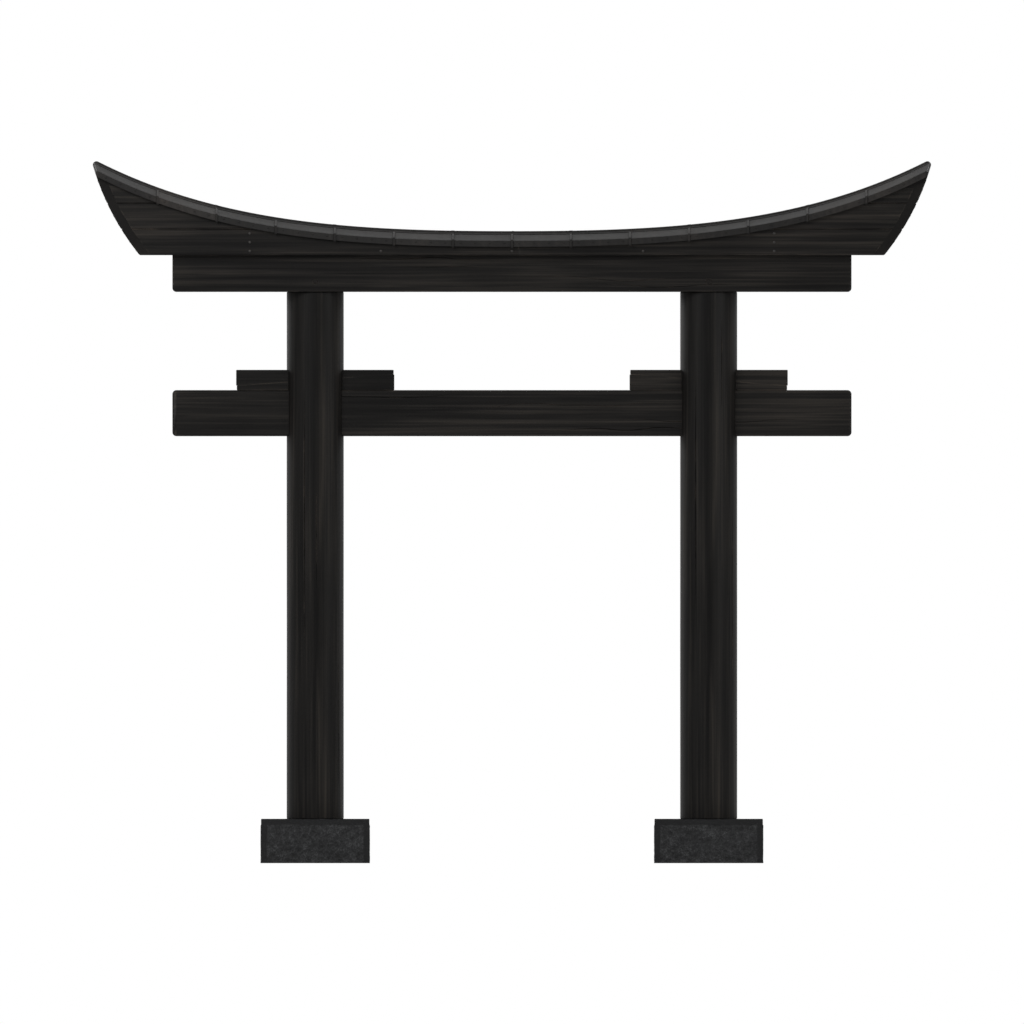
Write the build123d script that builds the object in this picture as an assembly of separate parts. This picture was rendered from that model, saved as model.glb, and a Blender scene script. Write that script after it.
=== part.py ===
from build123d import *
from math import cos, hypot, radians, sin, sqrt
import os

# A two-pillar shrine gate with an upswept top lintel, in timber on square stone blocks.
# Two round pillars stand on the blocks, each held by a foot tenon. A flat tie beam runs right
# through both pillars and is locked in its mortises by a pair of folding wedges at each pillar.
# A straight lower lintel sits on the pillar tops, pegged to their head tenons. The upper lintel
# on top of it is a hollow box of planks: sole, fascias and bow-shaped end boards round upright
# ribs, under sloping roof boards and a bevelled ridge pole that follow one upswept ridge curve.
#
# Millimetres. +X runs across the gate, to the right as seen from the front, the front faces -Y,
# and +Z is up. The origin is on the ground, midway between the pillars.

# Setting out and pillars
pillar_spacing = 3030  # centre to centre, ten shaku
pillar_diameter = 440
lintel_level = 4399  # pillar top and underside of the lower lintel
foot_tenon_width = 160
foot_tenon_length = 90
head_tenon_width = 150
head_tenon_length = 165

# Base stones, square in plan
base_width = 844
base_height = 342
base_arris = 6

# Joinery clearances
mortise_clearance = 1  # at each cheek of a mortise
tenon_end_gap = 6  # between a tenon's end and the bottom of its mortise

# Tie beam
tie_level = 3288  # underside
tie_height = 355
tie_thickness = 160
tie_overhang = 1100  # beyond the pillar's centre line

# Folding wedges, over the tie beam in each pillar
wedge_height = 156  # of the closed pair
wedge_length = 1218
wedge_thickness = 124
wedge_thin_end = 34
wedge_end_step = 5  # the thin end stops short of the other wedge's head
wedge_arris = 4

# Lower lintel
lower_lintel_height = 283
lower_lintel_depth = 480
lower_lintel_overhang = 1100  # beyond the pillar's centre line
corner_radius = 31  # at the ends of the tie beam and the lower lintel
timber_arris = 8

# Square pegs through the lower lintel and the head tenons
peg_width = 36
peg_rise = 82  # centre above the lower lintel's underside
peg_stand = 9  # how far each end stands proud
peg_arris = 5

# Upper lintel, seen from the front: heights are above its own flat underside
sole_overhang = 253  # of the underside, beyond the lower lintel's end
tip_overhang = 376  # of the tips before they are rounded, beyond the underside's end
tip_height = 751
crown_height = 186  # ridge at mid-length
bow_radius = 1981  # of the curved ends
ridge_flat_handle = 1270  # how long the ridge curve holds level from mid-length
ridge_tip_handle = 1070  # how long it holds its slope below the tip
ridge_tip_slope = 27.7  # degrees
tip_radius = 28

# Upper lintel, across the gate
fascia_span = 620  # over the outer faces of the front and back fascias
roof_overhang = 30  # beyond the fascia
roof_pitch = 0.18  # fall for each unit of depth
ridge_pole_width = 84
ridge_pole_depth = 72
ridge_pole_stand = 14  # above the roof boards beside it
ridge_pole_bevel = 18

# Planks of the upper lintel
sole_thickness = 60
fascia_thickness = 60
roof_thickness = 36
end_board_thickness = 70
board_arris = 6
roof_end_round = 16
fascia_scarf_slope = 2  # run of the fascia's scarf for each unit of its thickness
ridge_scarf_run = 180  # length of the ridge pole's scarf along the gate
rib_thickness = 45
rib_spacing = 1010

# Shaping aids: spare length of what only trims, and the steepest slope of a top face in degrees
trim = 120
steepest_top = 60

# Levels and reaches that follow
pillar_x = pillar_spacing / 2
tie_top = tie_level + tie_height
wedge_top = tie_top + wedge_height
tie_length = pillar_spacing + 2 * tie_overhang
lower_lintel_reach = pillar_x + lower_lintel_overhang
sole_reach = lower_lintel_reach + sole_overhang
tip_reach = sole_reach + tip_overhang
sole_level = lintel_level + lower_lintel_height
peg_level = lintel_level + peg_rise
fascia_outer = fascia_span / 2
fascia_inner = fascia_outer - fascia_thickness
roof_reach = fascia_outer + roof_overhang
roof_underside = ridge_pole_stand + roof_thickness  # below the ridge line, at mid-depth

# Centre of the arc through the underside's end and the sharp tip
bow_half_chord = hypot(tip_overhang, tip_height) / 2
bow_offset = sqrt(bow_radius**2 - bow_half_chord**2) / (2 * bow_half_chord)
bow_x = (sole_reach + tip_reach) / 2 - tip_height * bow_offset
bow_z = tip_height / 2 + tip_overhang * bow_offset


def block(x_from, x_to, y_from, y_to, z_from, z_to):
    """A square-cornered block between two limits on each axis."""
    size = (x_to - x_from, y_to - y_from, z_to - z_from)
    middle = ((x_from + x_to) / 2, (y_from + y_to) / 2, (z_from + z_to) / 2)
    return Pos(*middle) * Box(*size)


def post(x_middle, width, z_from, z_to):
    """A block that is square in plan, centred on the gate's depth."""
    half = width / 2
    return block(x_middle - half, x_middle + half, -half, half, z_from, z_to)


def upright_face(*edges):
    """A face in the gate's own plane, from edges drawn as (x, height)."""
    return Plane.XZ * make_face(edges)


def base_stone(side):
    """A square stone block with a socket in its top for the pillar's foot tenon."""
    centre = side * pillar_x
    stone = post(centre, base_width, 0, base_height)
    stone = chamfer(stone.edges() - stone.faces().sort_by(Axis.Z)[0].edges(), base_arris)
    socket_width = foot_tenon_width + 2 * mortise_clearance
    socket_floor = base_height - foot_tenon_length - tenon_end_gap
    return stone - post(centre, socket_width, socket_floor, base_height)


def pillar(side):
    """A round pillar with its tenons, and one stepped mortise for the tie beam and the wedges."""
    centre = side * pillar_x
    height = lintel_level - base_height
    shaft = Pos(centre, 0, base_height + height / 2) * Cylinder(pillar_diameter / 2, height)
    shaft += post(centre, foot_tenon_width, base_height - foot_tenon_length, base_height)
    shaft += post(centre, head_tenon_width, lintel_level, lintel_level + head_tenon_length)
    reach = pillar_diameter / 2 + trim
    tie_cheek = tie_thickness / 2 + mortise_clearance
    wedge_cheek = wedge_thickness / 2 + mortise_clearance
    shaft -= block(centre - reach, centre + reach, -tie_cheek, tie_cheek, tie_level, tie_top)
    shaft -= block(centre - reach, centre + reach, -wedge_cheek, wedge_cheek, tie_top, wedge_top)
    return shaft - peg_hole(side)


def tie_beam():
    """The one flat beam that runs through both pillars, its corners rounded and edges eased."""
    outline = RectangleRounded(tie_length, tie_height, corner_radius)
    beam = extrude(Plane.XZ * outline, tie_thickness / 2, both=True)
    beam = Pos(0, 0, tie_level + tie_height / 2) * beam
    return chamfer(beam.faces().filter_by(Axis.Y).edges(), timber_arris)


def wedge_pair(side):
    """Two long wedges driven from opposite sides, which close into one level block."""
    inner = -wedge_length / 2
    outer = wedge_length / 2
    thick = wedge_height - wedge_thin_end
    fall = (thick - wedge_thin_end) / wedge_length
    step_rise = fall * wedge_end_step
    lower_outline = Polyline(
        (inner, 0),
        (outer - wedge_end_step, 0),
        (outer - wedge_end_step, wedge_thin_end + step_rise),
        (inner, thick),
        close=True,
    )
    upper_outline = Polyline(
        (outer, wedge_height),
        (inner + wedge_end_step, wedge_height),
        (inner + wedge_end_step, thick - step_rise),
        (outer, wedge_thin_end),
        close=True,
    )
    wedges = []
    for outline in (lower_outline, upper_outline):
        wedge = extrude(upright_face(outline), wedge_thickness / 2, both=True)
        wedge = chamfer(wedge.faces().filter_by(Axis.X).edges(), wedge_arris)
        if side < 0:
            wedge = to_left(wedge)
        wedges.append(Pos(side * pillar_x, 0, tie_top) * wedge)
    return wedges


def peg_hole(side):
    """The square hole for a peg, right through the gate's depth."""
    half = peg_width / 2
    reach = lower_lintel_depth / 2 + trim
    centre = side * pillar_x
    return block(centre - half, centre + half, -reach, reach, peg_level - half, peg_level + half)


def lower_lintel():
    """The straight lintel on the pillar tops, with mortises from below and peg holes."""
    outline = Rectangle(2 * lower_lintel_reach, lower_lintel_height)
    outline = fillet(outline.vertices().group_by(Axis.Y)[0], corner_radius)
    lintel = extrude(Plane.XZ * outline, lower_lintel_depth / 2, both=True)
    lintel = Pos(0, 0, lintel_level + lower_lintel_height / 2) * lintel
    side_edges = lintel.faces().filter_by(Axis.Y).edges()
    lintel = chamfer(side_edges - lintel.faces().sort_by(Axis.Z)[-1].edges(), timber_arris)
    mortise_width = head_tenon_width + 2 * mortise_clearance
    mortise_top = lintel_level + head_tenon_length + tenon_end_gap
    for side in (-1, 1):
        lintel -= post(side * pillar_x, mortise_width, lintel_level, mortise_top)
        lintel -= peg_hole(side)
    return lintel


def lintel_peg(side):
    """A square peg with eased ends, driven from front to back."""
    half = peg_width / 2
    reach = lower_lintel_depth / 2 + peg_stand
    centre = side * pillar_x
    peg = block(centre - half, centre + half, -reach, reach, peg_level - half, peg_level + half)
    return chamfer(peg.faces().filter_by(Axis.Y).edges(), peg_arris)


def bow_reach(height, inset):
    """Half the upper lintel's length at a height, this far inside the bow-shaped end."""
    return bow_x + sqrt((bow_radius - inset) ** 2 - (height - bow_z) ** 2)


def between_bows(inset, y_from, y_to):
    """All that lies between the two bow-shaped ends and above the underside."""
    top = tip_height + trim
    heights = (0, top / 2, top)
    right = [(bow_reach(height, inset), height) for height in heights]
    left = [(-x, height) for x, height in right]
    outline = upright_face(
        Line(left[0], right[0]),
        ThreePointArc(*right),
        Line(right[2], left[2]),
        ThreePointArc(*reversed(left)),
    )
    return Pos(0, y_to, sole_level) * extrude(outline, y_to - y_from)


def under_ridge_face(drop):
    """The region under the ridge curve, lowered by a drop, from tip to tip and beyond."""
    slope = radians(ridge_tip_slope)
    handle = (tip_reach - ridge_tip_handle * cos(slope), tip_height - ridge_tip_handle * sin(slope))
    run_out = (tip_reach + trim * cos(slope), tip_height + trim * sin(slope))
    ridge = [(0, crown_height), (ridge_flat_handle, crown_height), handle, (tip_reach, tip_height)]
    foot = (run_out[0], -tip_height)
    right = [(x, height - drop) for x, height in ridge + [run_out, foot]]
    left = [(-x, height) for x, height in right]
    return upright_face(
        Bezier(*right[:4]),
        Line(right[3], right[4]),
        Line(right[4], right[5]),
        Line(right[5], left[5]),
        Line(left[5], left[4]),
        Line(left[4], left[3]),
        Bezier(*reversed(left[:4])),
    )


def under_slope(drop, pitch, y_from, y_to):
    """All that lies under a front slope, which starts this far below the ridge line."""
    fall = Vector(0, -1, -pitch)
    slope = extrude(under_ridge_face(drop), (y_from - y_to) * fall.length, dir=fall.normalized())
    return Pos(0, y_from, sole_level) * slope


def under_front_roof(drop):
    """All that lies under the front half of the roof, this far below its planes."""
    return under_slope(drop, roof_pitch, 0, -roof_reach - trim)


def under_level_ridge(drop, half_depth):
    """All that lies under the ridge line near mid-depth, with no fall to the sides."""
    core = extrude(under_ridge_face(drop), half_depth, both=True)
    return Pos(0, 0, sole_level) * core


def to_back(front_piece):
    """The back piece that matches a front one."""
    return mirror(front_piece, about=Plane.XZ)


def to_left(right_piece):
    """The left piece that matches a right one."""
    return mirror(right_piece, about=Plane.YZ)


def sawn_in_two(piece, cut):
    """The left and right parts of a full-length piece, cut on a plane that faces right."""
    return split(piece, cut, Keep.BOTTOM), split(piece, cut, Keep.TOP)


def sole_plank():
    """The front one of the two flat planks that lie on the lower lintel."""
    plank = between_bows(end_board_thickness, -fascia_inner, 0)
    top = sole_level + sole_thickness
    reach = sole_reach + trim
    return plank & block(-reach, reach, -fascia_inner, 0, sole_level, top)


def front_fascia():
    """The front fascia, full length: it fits between the end boards and under the roof board."""
    board = between_bows(end_board_thickness, -fascia_outer, -fascia_inner)
    board &= under_front_roof(roof_underside)
    outer_face = board.faces().filter_by(Axis.Y).sort_by(Axis.Y)[0]
    return chamfer(outer_face.edges().sort_by(Axis.Z)[0], board_arris)


def under_roof(blank):
    """Trim a board to the undersides of the roof boards and notch it for the ridge pole."""
    front_half = under_front_roof(roof_underside)
    trimmed = (blank & front_half) + (blank & to_back(front_half))
    half = ridge_pole_width / 2
    return trimmed - (between_bows(0, -half, half) - under_level_ridge(ridge_pole_depth, half))


def end_boards():
    """The bow-shaped boards that close both ends, over the ends of the fascias and the sole."""
    shell = between_bows(0, -fascia_outer, fascia_outer)
    shell -= between_bows(end_board_thickness, -fascia_outer, fascia_outer)
    boards = under_roof(shell)
    bows = boards.faces().filter_by(GeomType.CYLINDER).sort_by(Axis.X)
    arcs = (bows[0].edges() + bows[-1].edges()).filter_by(GeomType.CIRCLE)
    return chamfer(arcs, board_arris).solids().sort_by(Axis.X)


def rib(x_middle):
    """An upright board inside the box, which carries the ridge pole and the roof boards."""
    half = rib_thickness / 2
    floor = sole_level + sole_thickness
    top = sole_level + tip_height
    x_from = x_middle - half
    return under_roof(block(x_from, x_middle + half, -fascia_inner, fascia_inner, floor, top))


def upper_edges(side_face, solid):
    """The edges where a side face of a solid meets the faces that look up."""
    up = Vector(0, 0, 1)
    tops = [face for face in solid.faces() if face.normal_at().get_angle(up) < steepest_top]
    return [edge for edge in side_face.edges() if any(edge in top.edges() for top in tops)]


def roof_board():
    """The front right roof board, its upper end edge rounded like the ridge pole's tip."""
    slab = between_bows(0, -roof_reach, -ridge_pole_width / 2)
    slab &= under_front_roof(ridge_pole_stand)
    slab -= under_front_roof(roof_underside)
    board = split(slab, Plane.YZ, Keep.TOP)
    end = board.faces().filter_by(GeomType.CYLINDER)[0]
    return fillet(upper_edges(end, board), roof_end_round)


def ridge_pole():
    """The pole along the ridge, full length, with rounded tips and a bevelled back."""
    half = ridge_pole_width / 2
    pole = between_bows(0, -half, half) & under_level_ridge(0, half)
    pole -= under_level_ridge(ridge_pole_depth, half)
    pole = fillet(pole.edges().filter_by(Axis.Y).group_by(Axis.Z)[-1], tip_radius)
    flat = half - ridge_pole_bevel
    reach = tip_reach + trim
    top = sole_level + tip_height + trim
    corner = block(-reach, reach, -half - trim, -flat, sole_level, top)
    corner -= under_slope(0, 1, -flat, -half - trim)
    return pole - corner - to_back(corner)


parts = {}
for name, side in (("left", -1), ("right", 1)):
    parts[f"{name}_base_stone"] = base_stone(side)
    parts[f"{name}_pillar"] = pillar(side)
    lower_wedge, upper_wedge = wedge_pair(side)
    parts[f"{name}_lower_wedge"] = lower_wedge
    parts[f"{name}_upper_wedge"] = upper_wedge
    parts[f"{name}_lintel_peg"] = lintel_peg(side)

parts["tie_beam"] = tie_beam()
parts["lower_lintel"] = lower_lintel()
parts["front_sole_plank"] = sole_plank()
parts["back_sole_plank"] = to_back(parts["front_sole_plank"])
parts["left_end_board"], parts["right_end_board"] = end_boards()
for step, name in enumerate(("left_outer", "left_inner", "middle", "right_inner", "right_outer"), -2):
    parts[f"{name}_rib"] = rib(step * rib_spacing)

fascia_middle = (0, -(fascia_outer + fascia_inner) / 2, 0)
fascia_cut = Plane(fascia_middle, z_dir=(1, fascia_scarf_slope, 0))
ridge_middle = (0, 0, sole_level + crown_height - ridge_pole_depth / 2)
ridge_cut = Plane(ridge_middle, z_dir=(ridge_pole_depth, 0, ridge_scarf_run))
right_roof = roof_board()
fronts = {
    "fascia": sawn_in_two(front_fascia(), fascia_cut),
    "roof_board": (to_left(right_roof), right_roof),
}
for piece, (left_front, right_front) in fronts.items():
    parts[f"front_left_{piece}"] = left_front
    parts[f"front_right_{piece}"] = right_front
    parts[f"back_left_{piece}"] = to_back(left_front)
    parts[f"back_right_{piece}"] = to_back(right_front)
parts["left_ridge_pole"], parts["right_ridge_pole"] = sawn_in_two(ridge_pole(), ridge_cut)

os.makedirs("parts", exist_ok=True)
for name, part in parts.items():
    export_step(part, f"parts/{name}.step")
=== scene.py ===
# A two-pillar shrine gate in black lacquered timber. It stands on black granite base stones, and
# its upswept upper lintel is roofed with black copper sheet. Metres, in the frame's own axes:
# +X to the right as seen from the front, the front faces -Y, and the ground is at z = 0.
import math
import random
import bmesh
import bpy
import numpy as np
from mathutils import Matrix, Vector, noise


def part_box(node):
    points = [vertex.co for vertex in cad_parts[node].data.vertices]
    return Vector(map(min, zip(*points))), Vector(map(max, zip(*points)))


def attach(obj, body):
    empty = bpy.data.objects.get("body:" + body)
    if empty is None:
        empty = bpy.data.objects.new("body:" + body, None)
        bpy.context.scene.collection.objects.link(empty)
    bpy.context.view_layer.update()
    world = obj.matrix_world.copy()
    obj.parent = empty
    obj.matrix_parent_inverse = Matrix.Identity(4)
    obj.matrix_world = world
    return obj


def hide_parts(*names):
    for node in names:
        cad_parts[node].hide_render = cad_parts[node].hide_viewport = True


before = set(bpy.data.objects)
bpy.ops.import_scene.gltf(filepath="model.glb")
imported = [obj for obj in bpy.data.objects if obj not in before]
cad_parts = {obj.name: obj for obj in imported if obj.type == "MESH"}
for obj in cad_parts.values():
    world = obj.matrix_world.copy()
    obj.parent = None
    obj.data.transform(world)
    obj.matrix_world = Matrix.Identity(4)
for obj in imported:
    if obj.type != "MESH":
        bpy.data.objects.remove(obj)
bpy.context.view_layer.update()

# Base stones. Each is one block of black granite, quarried square. The mason chisels smooth
# margins round its faces, picks the fields between them with a point, and sinks a socket in the
# level top for the pillar's foot tenon.
stone_low, stone_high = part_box("right_base_stone")
stone_centre = (stone_low.x + stone_high.x) / 2
stone_half = (stone_high.x - stone_low.x) / 2
stone_top = stone_high.z
shaping_pitch = 0.0065  # spacing of the points by which the faces are shaped
pick_spacing = 0.046  # from one blow of the point to the next
pick_depth = 0.016
margin_width = 0.045
margin_depth = 0.0048  # from the block's full size in to the margins
margin_wander = 0.004  # of the line between a margin and its field
margin_step = 0.008  # over which a margin passes into its field
chisel_depth = 0.0006
arris_wear = 0.006
seat_radius = 0.232  # dressed dead level, for the pillar
seat_edge = 0.012  # over which the seat falls to the top round it
seat_rise = 0.0006
top_margin_step = 0.006
dressing_depth = 0.0008
socket_half = 0.081
socket_depth = 0.096
margin_ripples = 9  # to the metre, and so are the next five
swell_ripples = 8
spall_ripples = 55
chisel_ripples = 160
dressing_ripples = 70
arris_ripples = 34
arris_chips = 0.8  # how unevenly the arrises are worn
side_wear = 0.55  # share of an arris's wear that a side face takes
top_wear = 0.5  # and that the top takes
pit_steepness = 1.25  # against a pit that reaches its rim one spacing out
pit_share = 0.54  # of the pick's depth, and so are the next two
swell_share = 0.30
spall_share = 0.16
rim_share = 0.14  # what is less deep than this share is left as a high point
least_share = 0.02
pit_darkening = 0.7  # how much darker and glossier the stone is drawn in a pit's middle
top_bruise = 0.6  # against the high points of the sides
stone_crease = 0  # every edge between two facets stays sharp


def eased(value):
    """Run smoothly from 0 to 1."""
    value = min(max(value, 0), 1)
    return value * value * (3 - 2 * value)


def ripple(a, b, per_metre, seed):
    """How uneven a face is at a place, from about -1 to 1, with so many ripples to the metre."""
    return noise.noise(Vector((a * per_metre, b * per_metre, seed)))


def arris_loss(a, b, edge, seed):
    """How far a face is chipped and worn back near an arris."""
    return (1 + arris_chips * ripple(a, b, arris_ripples, seed + 7)) * max(arris_wear - edge, 0)


def picked_depth(across, above, below_top, seed):
    """How far a side face lies back, and how bruised it is there, drawn darker in a pit's middle."""
    edge = min(stone_half - abs(across), below_top)
    wander = margin_wander * ripple(across, above, margin_ripples, seed)
    field = eased((edge - margin_width - wander) / margin_step)
    blow = Vector((across / pick_spacing, above / pick_spacing, seed))
    pit = 1 - min(noise.voronoi(blow)[0][0] * pit_steepness, 1)
    swell = 0.5 + 0.5 * ripple(across, above, swell_ripples, seed + 3)
    spall = 0.5 + 0.5 * ripple(across, above, spall_ripples, seed + 5)
    deep = pit_share * pit + swell_share * swell + spall_share * spall
    picked = pick_depth * max(deep - rim_share, least_share)
    chiselled = margin_depth + chisel_depth * ripple(across, above, chisel_ripples, seed)
    worn = side_wear * arris_loss(across, above, edge, seed)
    return chiselled + (picked - chiselled) * field + worn, field * (1 - pit_darkening * pit)


def top_depth(x, y, seed):
    """How far the level top lies below the pillar's seat at a place, and how rough it is there."""
    edge = stone_half - max(abs(x), abs(y))
    off_seat = eased((math.hypot(x, y) - seat_radius) / seat_edge)
    field = eased((edge - margin_width) / top_margin_step) * off_seat
    dressed = dressing_depth * (1 + ripple(x, y, dressing_ripples, seed))
    worn = top_wear * arris_loss(x, y, edge, seed)
    return seat_rise * off_seat + dressed * field + worn, top_bruise * field


def base_stone_body(seed):
    """One stone about its own centre line, shaped face by face on a fine square grid."""
    body = bmesh.new()
    picked = body.verts.layers.float.new("picked")
    wide = round(2 * stone_half / shaping_pitch)
    high = round(stone_top / shaping_pitch)
    corners = {}

    def corner(i, j, k):
        if (i, j, k) not in corners:
            x, y = (2 * stone_half * (step / wide - 0.5) for step in (i, j))
            z = stone_top * k / high
            place = Vector((x, y, z))
            rough = 0
            if i in (0, wide):
                depth, rough = picked_depth(y, z, stone_top - z, seed + i)
                place.x -= math.copysign(depth, x)
            if j in (0, wide):
                depth, rough = picked_depth(x, z, stone_top - z, seed + 20 + j)
                place.y -= math.copysign(depth, y)
            if k == high:
                depth, rough = top_depth(x, y, seed)
                place.z -= depth
            corners[i, j, k] = body.verts.new(place)
            corners[i, j, k][picked] = rough
        return corners[i, j, k]

    top = []
    for i in range(wide):
        for j in range(wide):
            square = ((i, j), (i + 1, j), (i + 1, j + 1), (i, j + 1))
            top.append(body.faces.new([corner(a, b, high) for a, b in square]))
    for k in range(high):
        for i in range(wide):
            for a in (0, wide):
                strip = ((a, i, k), (a, i + 1, k), (a, i + 1, k + 1), (a, i, k + 1))
                body.faces.new([corner(*place) for place in strip])
                body.faces.new([corner(y, x, z) for x, y, z in strip])
    foot = [(i, 0) for i in range(wide)] + [(wide, j) for j in range(wide)]
    foot += [(i, wide) for i in range(wide, 0, -1)] + [(0, j) for j in range(wide, 0, -1)]
    body.faces.new([corner(i, j, 0) for i, j in foot])
    return body, top


def sink_socket(body, top):
    """Sink the tenon's socket into the middle of the top."""
    middle = [face for face in top if max(map(abs, face.calc_center_median().xy)) < socket_half]
    sunk = bmesh.ops.extrude_face_region(body, geom=middle)["geom"]
    bmesh.ops.delete(body, geom=middle, context="FACES")
    for vertex in sunk:
        if isinstance(vertex, bmesh.types.BMVert):
            vertex.co.z = stone_top - socket_depth


def as_piece(body, name, finish, crease):
    """Turn a shaped body into a piece: smooth, but sharp where it bends more than the crease."""
    bmesh.ops.recalc_face_normals(body, faces=body.faces)
    mesh = bpy.data.meshes.new(name)
    body.to_mesh(mesh)
    body.free()
    mesh.shade_smooth()
    mesh.set_sharp_from_angle(angle=math.radians(crease))
    mesh.materials.append(finish)
    piece = bpy.data.objects.new(name, mesh)
    bpy.context.scene.collection.objects.link(piece)
    return piece


def feed(tree, step, *numbered, **named):
    """Set the sockets of one step of a finish to values, or feed them from earlier steps."""
    sockets = list(zip(step.inputs, numbered))
    sockets += [(step.inputs[name.replace("_", " ")], value) for name, value in named.items()]
    for socket, value in sockets:
        if isinstance(value, bpy.types.NodeSocket):
            tree.links.new(value, socket)
        else:
            socket.default_value = value


def add_step(tree, kind, *numbered, **named):
    """Add a step. Names in small letters are its settings, and all others are its sockets."""
    step = tree.nodes.new("ShaderNode" + kind)
    for name in [name for name in named if name.islower()]:
        setattr(step, name, named.pop(name))
    feed(tree, step, *numbered, **named)
    return step.outputs[0]


def new_finish(name):
    """An empty finish, its steps, its surface to be fed, and where a point lies on its piece."""
    finish = bpy.data.materials.new(name)
    finish.use_nodes = True
    tree = finish.node_tree
    here = add_step(tree, "TexCoord").node.outputs["Object"]
    return finish, tree, tree.nodes["Principled BSDF"], here


def clouds(tree, place, scale, detail, wander=0.0):
    """Soft uneven patches, so many to the metre."""
    return add_step(tree, "TexNoise", Vector=place, Scale=scale, Detail=detail, Distortion=wander)


def relief(tree, height, strength, distance=1.0):
    """Fine relief that the light shows, from heights in metres."""
    return add_step(tree, "Bump", Height=height, Distance=distance, Strength=strength)


def reckoned(tree, kind, *values):
    """Values brought together by one kind of sum."""
    return add_step(tree, "Math", *values, operation=kind)


def weighed(tree, start, *shares):
    """A starting value with others added to it, each by its own weight."""
    total = start
    for value, weight in shares:
        total = reckoned(tree, "MULTIPLY_ADD", value, weight, total)
    return total


def shades(tree, value, *stops):
    """Colours picked by a value, from stops that each give a place and a colour."""
    colour = add_step(tree, "ValToRGB", Fac=value)
    ramp = colour.node.color_ramp
    for place, shade in stops[1:-1]:
        ramp.elements.new(place)
    for element, (place, shade) in zip(ramp.elements, stops):
        element.position = place
        element.color = (*shade, 1)
    return colour


def black_granite():
    """Near-black granite with pale and bluish grains, bruised greyer where it is picked."""
    finish, tree, surface, here = new_finish("black_granite")
    # The picked field is bruised greyer, and the middle of each pit is drawn darker.
    bruise = add_step(tree, "Attribute", attribute_name="picked").node.outputs["Fac"]
    grains = []
    for scale in (230.0, 95.0):
        cells = add_step(tree, "TexVoronoi", Vector=here, Scale=scale).node
        grains.append(add_step(tree, "SeparateColor", Color=cells.outputs["Color"]))
    cloud = clouds(tree, here, 9.0, 5.0)
    tone = weighed(tree, 0.0, (grains[0], 0.30), (grains[1], 0.20), (cloud, 0.20), (bruise, 0.34))
    colour = shades(
        tree,
        tone,
        (0.0, (0.0025, 0.0026, 0.0028)),
        (0.40, (0.0045, 0.0046, 0.0049)),
        (0.60, (0.0112, 0.0114, 0.0119)),
        (0.78, (0.0240, 0.0244, 0.0252)),
        (1.0, (0.0620, 0.0635, 0.0660)),
    )
    fine = clouds(tree, here, 260.0, 4.0)
    pits = add_step(tree, "TexVoronoi", Vector=here, Scale=85.0)
    rough = relief(tree, weighed(tree, 0.0, (fine, 0.0007), (pits, 0.0005)), 0.8)
    sheen = weighed(tree, 0.36, (bruise, 0.28), (fine, 0.22))
    feed(tree, surface, Base_Color=colour, Roughness=sheen, Specular_IOR_Level=0.14, Normal=rough)
    return finish


granite = black_granite()
for name, side, seed in (("left", -1, 1.0), ("right", 1, 40.0)):
    stone, top = base_stone_body(seed)
    sink_socket(stone, top)
    stone = as_piece(stone, f"{name}_dressed_base_stone", granite, stone_crease)
    stone.data.transform(Matrix.Translation((side * stone_centre, 0, 0)))
    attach(stone, "root")
    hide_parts(f"{name}_base_stone")

# Pillars. Each is one round cypress log on a stone, with a tenon at its foot and its head and one
# stepped mortise right through it for the tie beam and the wedges. It is turned smooth and finished
# in black lacquer over soot, and long drying checks have opened along it.
pillar_low, pillar_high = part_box("right_pillar")
shaft_radius = (pillar_high.x - pillar_low.x) / 2
shaft_foot = stone_top
shaft_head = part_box("lower_lintel")[0].z
shaft_swell = 0.0011
end_easing = 0.004  # the shaft's two edges are rounded off by this
easing_length = 0.005
foot_tenon_half = 0.080
head_tenon_half = 0.075
mortise_pinch = 0.0002  # the mortise is cut this much tighter than what is driven through it
mortise_overlap = 0.01  # between its lower and its upper step
past_log = 0.05  # how far the cuts run out of the log
ring_spacing = 0.045  # height between the rings that shape the shaft
column_count = 144  # points round each ring, before the checks open
swell_waves = 0.9  # up each metre of the log, and so are the next two
gape_waves = 6
wander_waves = 2.2
check_count = 7
check_lengths = (0.7, 2.1)
check_width = 0.0085
check_depth = 0.020
check_sizes = (0.45, 1.0)  # shares of the full width and depth
check_shares = (0.2, 0.8)  # where in its own part of the round a check may open
check_fullness = 0.6  # below 1 it opens soon from its ends, and runs wide for longer
check_wander = 0.011  # radians round the log
gape_mean = 0.85  # of a check's size, and the next is how far its gape goes from that
gape_change = 0.3
closed_check = 0.0001  # half its width where it is shut
clear_of_foot = 0.15
clear_of_head = 0.1
timber_crease = 28  # degrees, from which an edge of a timber is sharp
same_place = 0.00001  # points of one body nearer than this are joined


def ranged(tree, value, low, high, to_low=0.0, to_high=1.0):
    """A value from one range spread over another, and held at its ends."""
    spread = {"From_Min": low, "From_Max": high, "To_Min": to_low, "To_Max": to_high}
    return add_step(tree, "MapRange", Value=value, **spread)


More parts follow.
